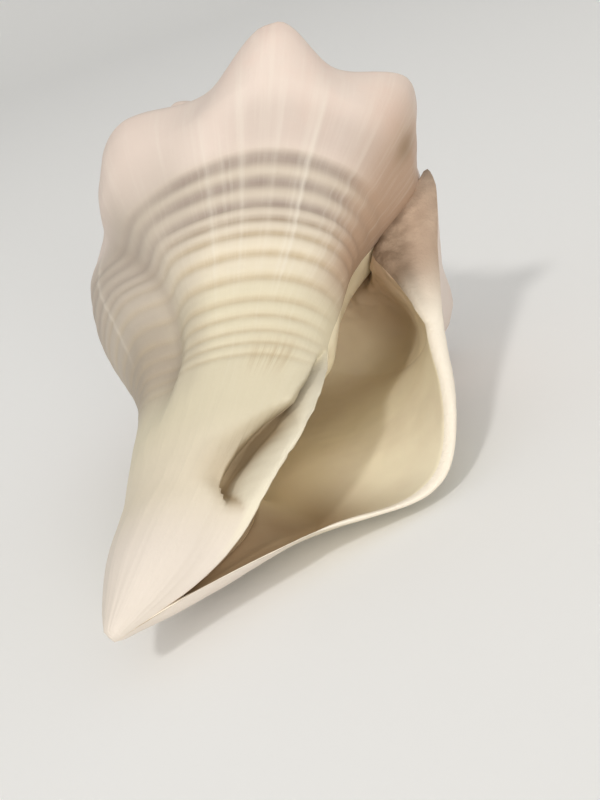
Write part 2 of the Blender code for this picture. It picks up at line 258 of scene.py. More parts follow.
# %% [markdown]
# ## Weaving the skin
# The skin is one closed mesh: the outside, the wall opposite the lip, the lip's inner face, the
# rounded rim and a blind end deep inside. Whorls share their points at the sutures, so there is
# no seam to hide and nothing overlaps. A Screw modifier could coil a profile, but it can't weld
# a whorl to the one below it or open a mouth.

# %% Skin
def build_mesh(steps, rows_ramp, rows_side, rim_rows, side_t=(0, 1), side_s=(0.36, 1)):
    """One closed skin. Returns points in millimetres, faces, and each point's place (u, s, part)."""
    rows = rows_ramp + rim_rows + rows_side
    cover = rows_ramp
    inner = rows_ramp + rim_rows
    ramp = np.interp(np.linspace(0, 1, rows_ramp + 1), (0, 0.45, 0.86, 1), (0, 0.20, 0.27, SUTURE_S))
    ramp[np.argmin(abs(ramp - SHOULDER_S))] = SHOULDER_S
    s_row = np.concatenate([ramp, np.linspace(SUTURE_S, INNER_SUTURE_S, rim_rows + 1)[1:],
                            np.interp(np.linspace(0, 1, rows_side + 1), side_t, side_s)[1:]])
    last = int(round(steps * TURNS))
    deep = int(round(steps * MOUTH_DEPTH))
    # how far each column moves so that its suture lies on the whorl before it
    column = np.arange(-1, last + 1) / steps
    start = wall_point(column, 0.0)
    landing = wall_point(column + 1, SUTURE_S)
    shift = np.zeros((last + 2, 3))
    for i in range(last - steps + 1, -1, -1):
        before = shift[i + steps] if i + steps <= last + 1 else 0.0
        shift[i] = landing[i] + before * suture_pull(SUTURE_S) - start[i]

    def skin(i, s):
        """Points of column numbers i and rows s, with the sutures closed."""
        i = np.asarray(i)
        return wall_point(i / steps, s) + shift[i + 1] * suture_pull(s)[..., None]

    points = []
    places = []
    index = {}

    def add(key, p, place):
        index[key] = len(points)
        points.append(p)
        places.append(place)

    # outside: older whorls show only down to the next suture
    body = skin(np.arange(steps + 1)[:, None], s_row[None, :])
    spire = skin(np.arange(steps + 1, last + 1)[:, None], s_row[None, :cover + 1])
    for i in range(last, -1, -1):
        stop = rows if i <= steps else cover
        block = body[i] if i <= steps else spire[i - steps - 1]
        for j in range(stop + 1):
            if j == 0 and i + steps <= last:
                index[("out", i, 0)] = index[("out", i + steps, cover)]
            elif j == rows:
                if ("tip",) not in index:
                    add(("tip",), block[j], (0.5, 1.0, 0.0))
                index[("out", i, j)] = index[("tip",)]
            else:
                add(("out", i, j), block[j], (i / steps, s_row[j], 0.0))
    # the wall inside the mouth, and the inner face of the outer wall
    columns = np.arange(deep + 1)[:, None]
    u = columns / steps
    share = (s_row[inner:] - s_row[inner]) / (1 - s_row[inner])
    s_wall = s_row[inner] + share[None, :] * (channel_end(u) - s_row[inner])
    wall = skin(columns + steps, s_wall)
    outside = skin(columns, s_row[None, :] * channel_end(u))
    s_facing = s_row[inner] + s_row[None, :] * (channel_end(u) - s_row[inner])
    facing = skin(columns + steps, s_facing)
    gap = np.linalg.norm(outside - facing, axis=-1)
    bevel = LIP_BEVEL * bell((s_row - 0.32) / 0.2) * (1 - smooth(u / 0.1))
    thick = RIM_WALL + bevel + (WALL - RIM_WALL) * smooth(u / 0.15)
    thick = thick * (0.12 + 0.88 * smooth((1 - s_row) / 0.18))
    near = np.minimum(thick / np.maximum(gap, 1e-6), 0.9)
    near = near + (1 - near) * np.clip(1 - s_row / 0.10, 0, 1) ** 2
    callus = CALLUS * (1 - smooth((s_row - 0.12) / 0.42)) * (1 - smooth((u - 0.03) / 0.38))
    near = np.maximum(near, callus)
    blend = 0.09 + 0.03 * smooth(u / 0.12)
    near = near + (1 - near) * smooth((s_row[None, :] - 1 + blend) / blend)
    inside = outside + (facing - outside) * near[..., None]
    for i in range(deep + 1):
        for k in range(rows_side + 1):
            if i == 0:
                index[("wall", 0, k)] = index[("out", steps, inner + k)]
            else:
                add(("wall", i, k), wall[i, k], (1 + i / steps, s_wall[i, k], 1.0))
        for j in range(rows + 1):
            if j == 0:
                index[("in", i, 0)] = index[("wall", i, 0)]
            elif j == rows:
                index[("in", i, j)] = index[("wall", i, rows_side)]
            else:
                add(("in", i, j), inside[i, j], (i / steps, s_row[j], 2.0))
    # the rounded rim of the lip
    ahead = skin(0, s_row) - skin(1, s_row)
    ahead = ahead / np.maximum(np.linalg.norm(ahead, axis=-1, keepdims=True), 1e-9)
    width = np.minimum(np.linalg.norm(outside[0] - inside[0], axis=-1, keepdims=True), RIM_WALL)
    for q in range(rim_rows + 1):
        t = q / rim_rows
        for j in range(rows + 1):
            if q == 0:
                index[("rim", q, j)] = index[("out", 0, j)]
            elif q == rim_rows:
                index[("rim", q, j)] = index[("in", 0, j)]
            elif j == 0:
                index[("rim", q, j)] = index[("out", steps, cover + q)]
            elif j == rows:
                index[("rim", q, j)] = index[("tip",)]
            else:
                p = outside[0, j] * (1 - t) + inside[0, j] * t
                taper = min(1.0, s_row[j] / 0.08, (1 - s_row[j]) / 0.15)
                p = p + ahead[j] * width[j] * 0.5 * math.sin(math.pi * t) * taper
                add(("rim", q, j), p, (0.0, s_row[j], 3.0 + t))

    faces = []

    def patch(loop):
        unique = [v for n, v in enumerate(loop) if v not in loop[:n]]
        if len(unique) > 2:
            faces.append(unique)

    def sheet(name, columns, stop):
        for i in range(columns):
            for j in range(stop(i)):
                patch([index[(name, i, j + 1)], index[(name, i + 1, j + 1)],
                       index[(name, i + 1, j)], index[(name, i, j)]])

    def turned_sheet(name, columns, stop):
        for i in range(columns):
            for j in range(stop):
                patch([index[(name, i + 1, j + 1)], index[(name, i, j + 1)],
                       index[(name, i, j)], index[(name, i + 1, j)]])

    sheet("out", last, lambda i: rows if i < steps else cover)
    sheet("wall", deep, lambda i: rows_side)
    turned_sheet("in", deep, rows)
    turned_sheet("rim", rim_rows, rows)
    # the blind end of the mouth
    a, b = 0, 0
    while a < rows or b < rows_side:
        if b >= rows_side or (a < rows and (a + 1) / rows <= (b + 1) / rows_side):
            patch([index[("wall", deep, b)], index[("in", deep, a + 1)], index[("in", deep, a)]])
            a += 1
        else:
            patch([index[("wall", deep, b)], index[("wall", deep, b + 1)], index[("in", deep, a)]])
            b += 1
    # the apex
    ring = [index[("out", i, 0)] for i in range(last - steps, last + 1)]
    ring += [index[("out", last, j)] for j in range(1, cover)]
    centre = np.mean([points[v] for v in ring], axis=0)
    top = len(points)
    points.append(centre + np.array([0, 0, 0.5 * np.linalg.norm(points[ring[0]] - centre)]))
    places.append((TURNS, 0.0, 0.0))
    for v, w in zip(ring, ring[1:] + ring[:1]):
        patch([v, w, top])
    return np.array(points), faces, np.array(places)


# %% Fine and coarse skins
# Columns in a turn, rows from the suture to its cover line, rows below it, rows round the rim.
COARSE_STEPS = (56, 7, 18, 2)
FINE_STEPS = (240, 16, 120, 5)
# The downward direction of the stable pose that the solid was found to rest in.
REST_DOWN = Vector((0.26649, 0.83173, -0.48705))
FRONT = np.array((0.07, -0.81, -0.58))


def rest_axes():
    up = -REST_DOWN / np.linalg.norm(REST_DOWN)
    front = FRONT - up * np.dot(FRONT, up)
    front = front / np.linalg.norm(front)
    return np.array([np.cross(up, front), -front, up])


SIDE_T = (0.0, 0.04, 0.68, 1.0)
SIDE_S = (0.36, 0.39, 0.69, 1.0)
axes = rest_axes()
coarse, _, _ = build_mesh(*COARSE_STEPS)
coarse = coarse @ axes.T * METRES
low = coarse.min(axis=0)
high = coarse.max(axis=0)
base = np.array([(low[0] + high[0]) / 2, (low[1] + high[1]) / 2, low[2]])
points, faces, places = build_mesh(*FINE_STEPS, SIDE_T, SIDE_S)
points = points @ axes.T * METRES - base
print("fine skin", len(points), "points,", sum(len(f) - 2 for f in faces), "triangles")

# %% [markdown]
# ## Notes for the materials
# Each point carries its place in the rule as attributes: whorls back from the lip, the fraction
# along the profile, which sheet it is on, and a count that goes up by one at each spiral groove.
# Painting by attribute keeps grooves and colour bands on the shell's own growth lines, where an
# image or object coordinates would cut across them.

# %% Mesh with attributes
# Places where growth paused for a while: whorls back, strength, half width.
GROWTH_MARKS = ((0.846, 1.0, 0.0022), (0.838, 0.5, 0.0018), (0.779, 0.6, 0.0024), (0.742, 0.5, 0.003),
                (0.895, 0.5, 0.002), (0.812, 0.35, 0.0016), (0.55, 0.7, 0.003), (0.40, 0.6, 0.002),
                (0.31, 0.8, 0.003), (0.19, 0.6, 0.002))
GROOVES_S = (0.407, 0.437, 0.470, 0.492, 0.513, 0.542, 0.575, 0.604, 0.625, 0.644, 0.660, 0.676)
whorl = places[:, 0]
along = places[:, 1]
layer = places[:, 2]
groove_count = np.interp(along, GROOVES_S, np.arange(len(GROOVES_S)))
groove_count = np.where(along < GROOVES_S[0], (along - GROOVES_S[0]) / 0.03, groove_count)
groove_count = np.where(along > GROOVES_S[-1], 11 + (along - GROOVES_S[-1]) / 0.02, groove_count)
# deep below the shoulder and shallow towards the canal; weak in the furrow and beside the mouth, and
# running out before the lip, whose edge is smooth
down = np.interp(along, (0.385, 0.40, 0.46, 0.49, 0.53, 0.60, 0.675, 0.69),
                 (0, 0.95, 1, 0.95, 0.8, 0.66, 0.5, 0))
round_turn = np.interp(whorl, (0, 0.07, 0.40, 0.48, 0.66, 0.71, 0.90, 0.97, 1.0),
                       (0.05, 0.7, 0.7, 0.42, 0.42, 1, 1, 0.35, 0))
narrow = np.interp(along, (0.38, 0.45, 0.50, 0.58), (1.0, 1.2, 2.0, 3.0))
cord_here = down * round_turn * (layer < 0.5)
# painted shade in the hollow beside the inner lip: over the ridge's slope as it turns in, and down in the
# hollow itself
pocket_place = (whorl - 1) / np.interp(along, POCKET_S, POCKET_WIDTH)
pocket = smooth((along - 0.655) / 0.02) * smooth((0.90 - along) / 0.04)
pocket_end = np.interp(along, POCKET_END_S, POCKET_END)
ridge_shade_slope = 0.5 * smooth((pocket_place + 2.2) / 1.2) + 0.5 * smooth((pocket_place + 1.05) / 0.2)
pocket = pocket * ridge_shade_slope * (1 - smooth((pocket_place - pocket_end) / 0.12)) * (layer < 0.5)
band = smooth((along - 0.335) / 0.03) * smooth((0.40 - along) / 0.02) * smooth((whorl - 0.74) / 0.06)
band = band * smooth((0.96 - whorl) / 0.04) * (layer < 0.5)
# painted shade: the body's right side and the back of the mouth, where the surface turns away from the key
# light
shade_turned_away = smooth((whorl - 0.865) / 0.08) * smooth((along - 0.24) / 0.1)
shade_turned_away = shade_turned_away * smooth((0.62 - along) / 0.12) * (whorl < 1.3)
marks = sum(strength * bell((whorl - place) / width) for place, strength, width in GROWTH_MARKS)
marks = marks * smooth((along - 0.3) / 0.06) * smooth((0.62 - along) / 0.08) * (layer < 0.5)
crease = bell((along - 0.675) / 0.022) * smooth((whorl - 0.79) / 0.05)
crease = crease * smooth((0.93 - whorl) / 0.02) * (layer < 0.5)
# a dark line along the furrow: painted shade in the crease
furrow = bell((whorl - np.interp(along, FURROW_S, FURROW_AT)) / 0.011)
furrow = furrow * smooth((along - 0.34) / 0.08) * smooth((0.68 - along) / 0.08) * (layer < 0.5)
pit = bell(np.hypot((whorl - 0.935) / 0.011, (along - 0.336) / 0.017)) * (layer < 0.5)
edge = np.where(whorl < 1, smooth((pocket_place - pocket_end) / 0.14), bell((whorl - 1) / 0.012, 4))
edge = edge * smooth((along - 0.65) / 0.03) * smooth((0.95 - along) / 0.08) * (whorl < 1.2)
# grey over the left side of the body: partly the shell's own grey, partly painted shade where that side
# turns from the light
grey_and_shade_fan = 0.5 * smooth((0.745 - whorl) / 0.05) + 0.5 * smooth((0.66 - whorl) / 0.05)
grey_and_shade_fan = grey_and_shade_fan * smooth((whorl - 0.36) / 0.12) * smooth((along - 0.32) / 0.08)
grey_and_shade_fan = grey_and_shade_fan * smooth((0.74 - along) / 0.10) * (layer < 0.5)
knob = knob_height(whorl, along) / 25
thick_corner = (1 - smooth((along - 0.22) / 0.28)) * (1 - smooth((whorl - 0.06) / 0.3)) * (layer > 1.5)
# across the rim: 0 at the outside, 1 at the mouth
across_rim = np.where(layer >= 3, layer - 3, (layer > 1.5) & (whorl < 0.001))
mesh = bpy.data.meshes.new("conch_skin")
mesh.from_pydata(points.tolist(), [], faces)
for name, values in (("whorl", whorl), ("along", along), ("layer", layer),
                     ("groove_count", groove_count), ("cord_here", cord_here), ("pocket", pocket),
                     ("edge", edge), ("grey_and_shade_fan", grey_and_shade_fan), ("knob", knob), ("corner", thick_corner),
                     ("narrow", narrow), ("band", band), ("shade_turned_away", shade_turned_away), ("marks", marks),
                     ("crease", crease), ("furrow", furrow), ("pit", pit), ("across_rim", across_rim)):
    mesh.attributes.new(name, "FLOAT", "POINT").data.foreach_set("value", np.asarray(values, np.float32))
skin_object = bpy.data.objects.new("conch_skin", mesh)
bpy.context.scene.collection.objects.link(skin_object)
print("attributes", [a.name for a in mesh.attributes if not a.name.startswith(".")])

# %% [markdown]
# ## Shader groups
# Two effects are used by more than one material, so each is a node group. The growth lines are
# fine streaks that run from suture to canal: a noise stretched along the profile. The chalk is a
# soft mottling that a dry, beach-worn shell has everywhere.


# %% Group helpers
def socket(group, name, kind, way, value=None):
    item = group.interface.new_socket(name=name, in_out=way, socket_type=kind)
    if value is not None:
        item.default_value = value
    return item


def node(tree, kind, **settings):
    made = tree.nodes.new(kind)
    for name, value in settings.items():
        if name.startswith("in_"):
            key = name[3:]
            made.inputs[int(key) if key.isdigit() else key].default_value = value
        else:
            setattr(made, name, value)
    return made


def growth_line_group():
    group = bpy.data.node_groups.new("growth_lines", "ShaderNodeTree")
    socket(group, "Lines per turn", "NodeSocketFloat", "INPUT", 130.0)
    socket(group, "Waviness", "NodeSocketFloat", "INPUT", 5.0)
    socket(group, "Value", "NodeSocketFloat", "OUTPUT")
    start = group.nodes.new("NodeGroupInput")
    end = group.nodes.new("NodeGroupOutput")
    u = node(group, "ShaderNodeAttribute", attribute_name="whorl")
    s = node(group, "ShaderNodeAttribute", attribute_name="along")
    turns = node(group, "ShaderNodeMath", operation="MULTIPLY")
    rows = node(group, "ShaderNodeMath", operation="MULTIPLY")
    place = node(group, "ShaderNodeCombineXYZ")
    streaks = node(group, "ShaderNodeTexNoise", in_Scale=1.0, in_Detail=4.0, in_Roughness=0.62)
    link = group.links.new
    link(u.outputs["Fac"], turns.inputs[0])
    link(start.outputs["Lines per turn"], turns.inputs[1])
    link(s.outputs["Fac"], rows.inputs[0])
    link(start.outputs["Waviness"], rows.inputs[1])
    link(turns.outputs[0], place.inputs["X"])
    link(rows.outputs[0], place.inputs["Y"])
    link(place.outputs[0], streaks.inputs["Vector"])
    link(streaks.outputs["Fac"], end.inputs["Value"])
    return group


def chalk_group():
    group = bpy.data.node_groups.new("chalk_mottle", "ShaderNodeTree")
    socket(group, "Patch size", "NodeSocketFloat", "INPUT", 45.0)
    socket(group, "Patches", "NodeSocketFloat", "OUTPUT")
    socket(group, "Grain", "NodeSocketFloat", "OUTPUT")
    start = group.nodes.new("NodeGroupInput")
    end = group.nodes.new("NodeGroupOutput")
    where = node(group, "ShaderNodeTexCoord")
    patches = node(group, "ShaderNodeTexNoise", in_Detail=5.0, in_Roughness=0.6)
    grain = node(group, "ShaderNodeTexNoise", in_Scale=900.0, in_Detail=3.0)
    link = group.links.new
    link(where.outputs["Object"], patches.inputs["Vector"])
    link(where.outputs["Object"], grain.inputs["Vector"])
    link(start.outputs["Patch size"], patches.inputs["Scale"])
    link(patches.outputs["Fac"], end.inputs["Patches"])
    link(grain.outputs["Fac"], end.inputs["Grain"])
    return group


growth_lines = growth_line_group()
chalk = chalk_group()
print("groups", growth_lines.name, chalk.name)


# %% [markdown]
# ## Material helpers
# A colour ramp turns a place on the shell into a colour, and mixing layers them as a painter
# glazes. These small helpers keep each material short enough to read as a list of layers.


# %% Material helpers
def attribute(tree, name):
    return node(tree, "ShaderNodeAttribute", attribute_name=name).outputs["Fac"]


def ramp(tree, value, stops, smooth_steps=True):
    made = node(tree, "ShaderNodeValToRGB")
    made.color_ramp.interpolation = "EASE" if smooth_steps else "LINEAR"
    while len(made.color_ramp.elements) < len(stops):
        made.color_ramp.elements.new(0.5)
    for element, (place, colour) in zip(made.color_ramp.elements, stops):
        element.position = place
        element.color = tuple(colour) + (1.0,) if len(colour) == 3 else colour
    tree.links.new(value, made.inputs["Fac"])
    return made.outputs["Color"]


def mask(tree, value, low_value, high_value):
    made = node(tree, "ShaderNodeMapRange", interpolation_type="SMOOTHSTEP",
                in_1=low_value, in_2=high_value)
    tree.links.new(value, made.inputs[0])
    return made.outputs["Result"]


def combine(tree, operation, a, b):
    made = node(tree, "ShaderNodeMath", operation=operation)
    for place, value in enumerate((a, b)):
        if isinstance(value, (int, float)):
            made.inputs[place].default_value = value
        else:
            tree.links.new(value, made.inputs[place])
    return made.outputs[0]


def layered(tree, under, over, amount, blend="MIX"):
    made = node(tree, "ShaderNodeMix", data_type="RGBA", blend_type=blend)
    for name, value in (("Factor", amount), ("A", under), ("B", over)):
        entry = [i for i in made.inputs if i.name == name and (i.type == "RGBA" or name == "Factor")][0]
        if isinstance(value, (int, float)):
            entry.default_value = value
        elif isinstance(value, tuple):
            entry.default_value = value + (1.0,)
        else:
            tree.links.new(value, entry)
    return [o for o in made.outputs if o.type == "RGBA"][0]


def new_material(name, roughness, specular=0.4):
    made = bpy.data.materials.new(name)
    made.use_nodes = True
    surface = made.node_tree.nodes["Principled BSDF"]
    surface.inputs["Roughness"].default_value = roughness
    surface.inputs["Specular IOR Level"].default_value = specular
    return made, made.node_tree, surface


def bump(tree, surface, height, strength, distance):
    made = node(tree, "ShaderNodeBump", in_Strength=strength, in_Distance=distance)
    tree.links.new(height, made.inputs["Height"])
    tree.links.new(made.outputs["Normal"], surface.inputs["Normal"])


# %% [markdown]
# ## The weathered outside
# The outside is chalky and matte. Its colour follows the profile: faintly pink on the knobs,
# cream over the cords, warmer towards the canal and pale at the tip, with grey-lilac and tan in
# the grooves, strongest where a groove is deepest.

# %% Outside material
PINK = (0.707, 0.6, 0.53)
BLUSH = (0.731, 0.57, 0.494)
CREAM = (0.73, 0.65, 0.51)
STRAW = (0.68, 0.615, 0.455)
TIP = (0.733, 0.658, 0.578)
LILAC = (0.333, 0.266, 0.225)
TAN = (0.50, 0.39, 0.24)
CHALK = (0.80, 0.75, 0.655)
CORD_PINK = (0.581, 0.502, 0.409)
GREY_AND_SHADE = (0.46, 0.40, 0.335)
BAND = (0.81, 0.745, 0.59)
# painted shade: the underside of the left side and the line of the furrow
SHADE_GREY = (0.34, 0.28, 0.225)
PIT_BROWN = (0.25, 0.17, 0.10)
# painted shade colours for the hollow: near black in the narrow slit at its top, brown on its floor
CRACK_SHADE = (0.11, 0.07, 0.035)
HOLLOW_FLOOR_SHADE = (0.46, 0.345, 0.20)
SHADE = (0.30, 0.215, 0.12)
# painted shade colour for the side that turns away from the light
PAINTED_SHADE_BROWN = (0.42, 0.28, 0.19)
outside, tree, surface = new_material("weathered_outside", 0.5, 0.3)
s_here = attribute(tree, "along")
mottle = node(tree, "ShaderNodeGroup", node_tree=chalk)
lines = node(tree, "ShaderNodeGroup", node_tree=growth_lines)
patchy = mask(tree, mottle.outputs["Patches"], 0.35, 0.7)
colour = ramp(tree, s_here, ((0.0, PINK), (0.38, PINK), (0.42, CORD_PINK), (0.47, CORD_PINK), (0.54, CREAM),
                             (0.60, STRAW), (0.72, STRAW), (0.86, CREAM), (0.94, TIP)))
blush_here = combine(tree, "MULTIPLY", mask(tree, attribute(tree, "knob"), 0.15, 0.8), patchy)
colour = layered(tree, colour, BLUSH, combine(tree, "MULTIPLY", blush_here, 0.75))
# the left side in grey, partly own colour and partly painted shade, going to painted shade on its underside
# lower down
grey_and_shade_here = ramp(tree, s_here, ((0.0, GREY_AND_SHADE), (0.53, GREY_AND_SHADE), (0.62, SHADE_GREY)))
colour = layered(tree, colour, grey_and_shade_here, combine(tree, "MULTIPLY", attribute(tree, "grey_and_shade_fan"), 0.85))
groove = attribute(tree, "groove")
groove_colour = ramp(tree, s_here, ((0.0, LILAC), (0.46, LILAC), (0.54, TAN), (1.0, TAN)))
colour = layered(tree, colour, groove_colour, combine(tree, "MULTIPLY", groove, 0.9))
colour = layered(tree, colour, LILAC, combine(tree, "MULTIPLY", attribute(tree, "band"), 0.3))
# painted shade in brown where the body turns away from the light
colour = layered(tree, colour, PAINTED_SHADE_BROWN, combine(tree, "MULTIPLY", attribute(tree, "shade_turned_away"), 0.95))
colour = layered(tree, colour, CHALK, combine(tree, "MULTIPLY", attribute(tree, "marks"), 0.4))
streak = mask(tree, lines.outputs["Value"], 0.45, 0.75)
streak = combine(tree, "MULTIPLY", streak, mask(tree, s_here, 0.95, 0.45))
streak = combine(tree, "MULTIPLY", streak, combine(tree, "SUBTRACT", 1.0, attribute(tree, "grey_and_shade_fan")))
colour = layered(tree, colour, CHALK, combine(tree, "MULTIPLY", streak, 0.2))
fine_lines = node(tree, "ShaderNodeGroup", node_tree=growth_lines)
fine_lines.inputs["Lines per turn"].default_value = 130.0
wrinkled = mask(tree, fine_lines.outputs["Value"], 0.35, 0.65)
wrinkled = combine(tree, "MULTIPLY", wrinkled, attribute(tree, "crease"))
colour = layered(tree, colour, TAN, combine(tree, "MULTIPLY", wrinkled, 0.6))
# painted shade along the furrow
colour = layered(tree, colour, SHADE_GREY, combine(tree, "MULTIPLY", attribute(tree, "furrow"), 0.45))
colour = layered(tree, colour, PIT_BROWN, combine(tree, "MULTIPLY", attribute(tree, "pit"), 0.75))
# painted shade in the hollow: darkest in the slit, lighter brown on its floor
hollow_shade_colour = ramp(tree, s_here, ((0.0, CRACK_SHADE), (0.70, CRACK_SHADE), (0.76, SHADE), (0.80, SHADE),
                                    (0.85, HOLLOW_FLOOR_SHADE)))
colour = layered(tree, colour, hollow_shade_colour, combine(tree, "MULTIPLY", attribute(tree, "pocket"), 0.9))
colour = layered(tree, colour, BAND, attribute(tree, "edge"))
tree.links.new(colour, surface.inputs["Base Color"])
relief = combine(tree, "ADD", combine(tree, "MULTIPLY", lines.outputs["Value"], 0.5),
                 combine(tree, "MULTIPLY", mottle.outputs["Grain"], 0.25))
relief = combine(tree, "SUBTRACT", relief, combine(tree, "MULTIPLY", wrinkled, 0.5))
bump(tree, surface, relief, 0.3, 0.0006)

# %% [markdown]
# ## The porcelain mouth
# The mouth is lined with smooth shell that the animal polished. It is cream near the lip, with painted
# shade deep inside (a darker, more orange tan) and towards the canal (brown), a low gloss and hardly any
# relief.

# %% Mouth material
LIP_CREAM = (0.95, 0.87, 0.66)
CANAL_SHADE_BROWN = (0.38, 0.265, 0.155)
CALLUS_BROWN_AND_SHADE = (0.50, 0.345, 0.235)
LIP_PINK = (0.76, 0.60, 0.48)
DEEP_SHADE_TAN = (0.95, 0.82, 0.57)
DEEPEST_SHADE = (0.90, 0.70, 0.44)
lining, tree, surface = new_material("mouth_lining", 0.32, 0.45)
s_here = attribute(tree, "along")
depth_here = combine(tree, "FRACT", attribute(tree, "whorl"), 0.0)
# painted shade: the lining towards the canal is painted brown
colour = ramp(tree, s_here, ((0.0, LIP_PINK), (0.22, LIP_PINK), (0.42, LIP_CREAM), (0.72, LIP_CREAM),
                             (0.90, CANAL_SHADE_BROWN)))
# the thick corner at the back of the mouth in brown: partly its own colour, partly painted shade
colour = layered(tree, colour, CALLUS_BROWN_AND_SHADE, combine(tree, "MULTIPLY", attribute(tree, "corner"), 0.9))
# painted shade: deeper in the mouth the lining turns darker and more orange
deep_shade_colour = ramp(tree, depth_here, ((0.0, DEEP_SHADE_TAN), (0.25, DEEP_SHADE_TAN), (0.6, DEEPEST_SHADE)))
colour = layered(tree, colour, deep_shade_colour, mask(tree, depth_here, 0.06, 0.26))
mottle = node(tree, "ShaderNodeGroup", node_tree=chalk)
mottle.inputs["Patch size"].default_value = 30.0
patchy = mask(tree, mottle.outputs["Patches"], 0.45, 0.75)
colour = layered(tree, colour, LIP_PINK, combine(tree, "MULTIPLY", patchy, 0.3))
colour = layered(tree, colour, BAND, attribute(tree, "edge"))
tree.links.new(colour, surface.inputs["Base Color"])
lines = node(tree, "ShaderNodeGroup", node_tree=growth_lines)
lines.inputs["Lines per turn"].default_value = 60.0
bump(tree, surface, lines.outputs["Value"], 0.12, 0.0005)

# %% [markdown]
# ## The worn rim
# The edge of the lip is broken growth layers: paler, rougher and faintly pink.

# %% Rim material
# brown for the back of the rim beside the thick corner: partly the callus's own colour, partly painted
# shade
CALLUS_EDGE_AND_SHADE = (0.462, 0.336, 0.244)
CALLUS = (0.232, 0.16, 0.104)
RIM_CREAM = (0.90, 0.82, 0.69)
RIM_PINK = (0.66, 0.50, 0.37)
rim, tree, surface = new_material("worn_rim", 0.55)
mottle = node(tree, "ShaderNodeGroup", node_tree=chalk)
mottle.inputs["Patch size"].default_value = 160.0
s_here = attribute(tree, "along")
# painted shade: the brown rim darkens from its outside towards the mouth
colour = ramp(tree, attribute(tree, "across_rim"),
              ((0.0, CALLUS_EDGE_AND_SHADE), (0.35, CALLUS_EDGE_AND_SHADE), (0.75, CALLUS)))
colour = layered(tree, colour, RIM_CREAM, mask(tree, s_here, 0.30, 0.44))
patchy = mask(tree, mottle.outputs["Patches"], 0.4, 0.65)
patchy = combine(tree, "MULTIPLY", patchy, mask(tree, s_here, 0.36, 0.24))
colour = layered(tree, colour, RIM_PINK, combine(tree, "MULTIPLY", patchy, 0.35))
tree.links.new(colour, surface.inputs["Base Color"])
bump(tree, surface, mottle.outputs["Grain"], 0.4, 0.0006)

# %% [markdown]
# ## Spiral cords and growth wrinkles with Geometry Nodes
# Cords repeat along the profile and wrinkles repeat round the turn, so a node tree makes both.
# It reads the attributes, pushes each point along its normal, keeps the groove depth as an
# attribute for the material, and sets a material for each sheet. Sculpting every cord by hand
# would take far longer and couldn't be changed with one number.


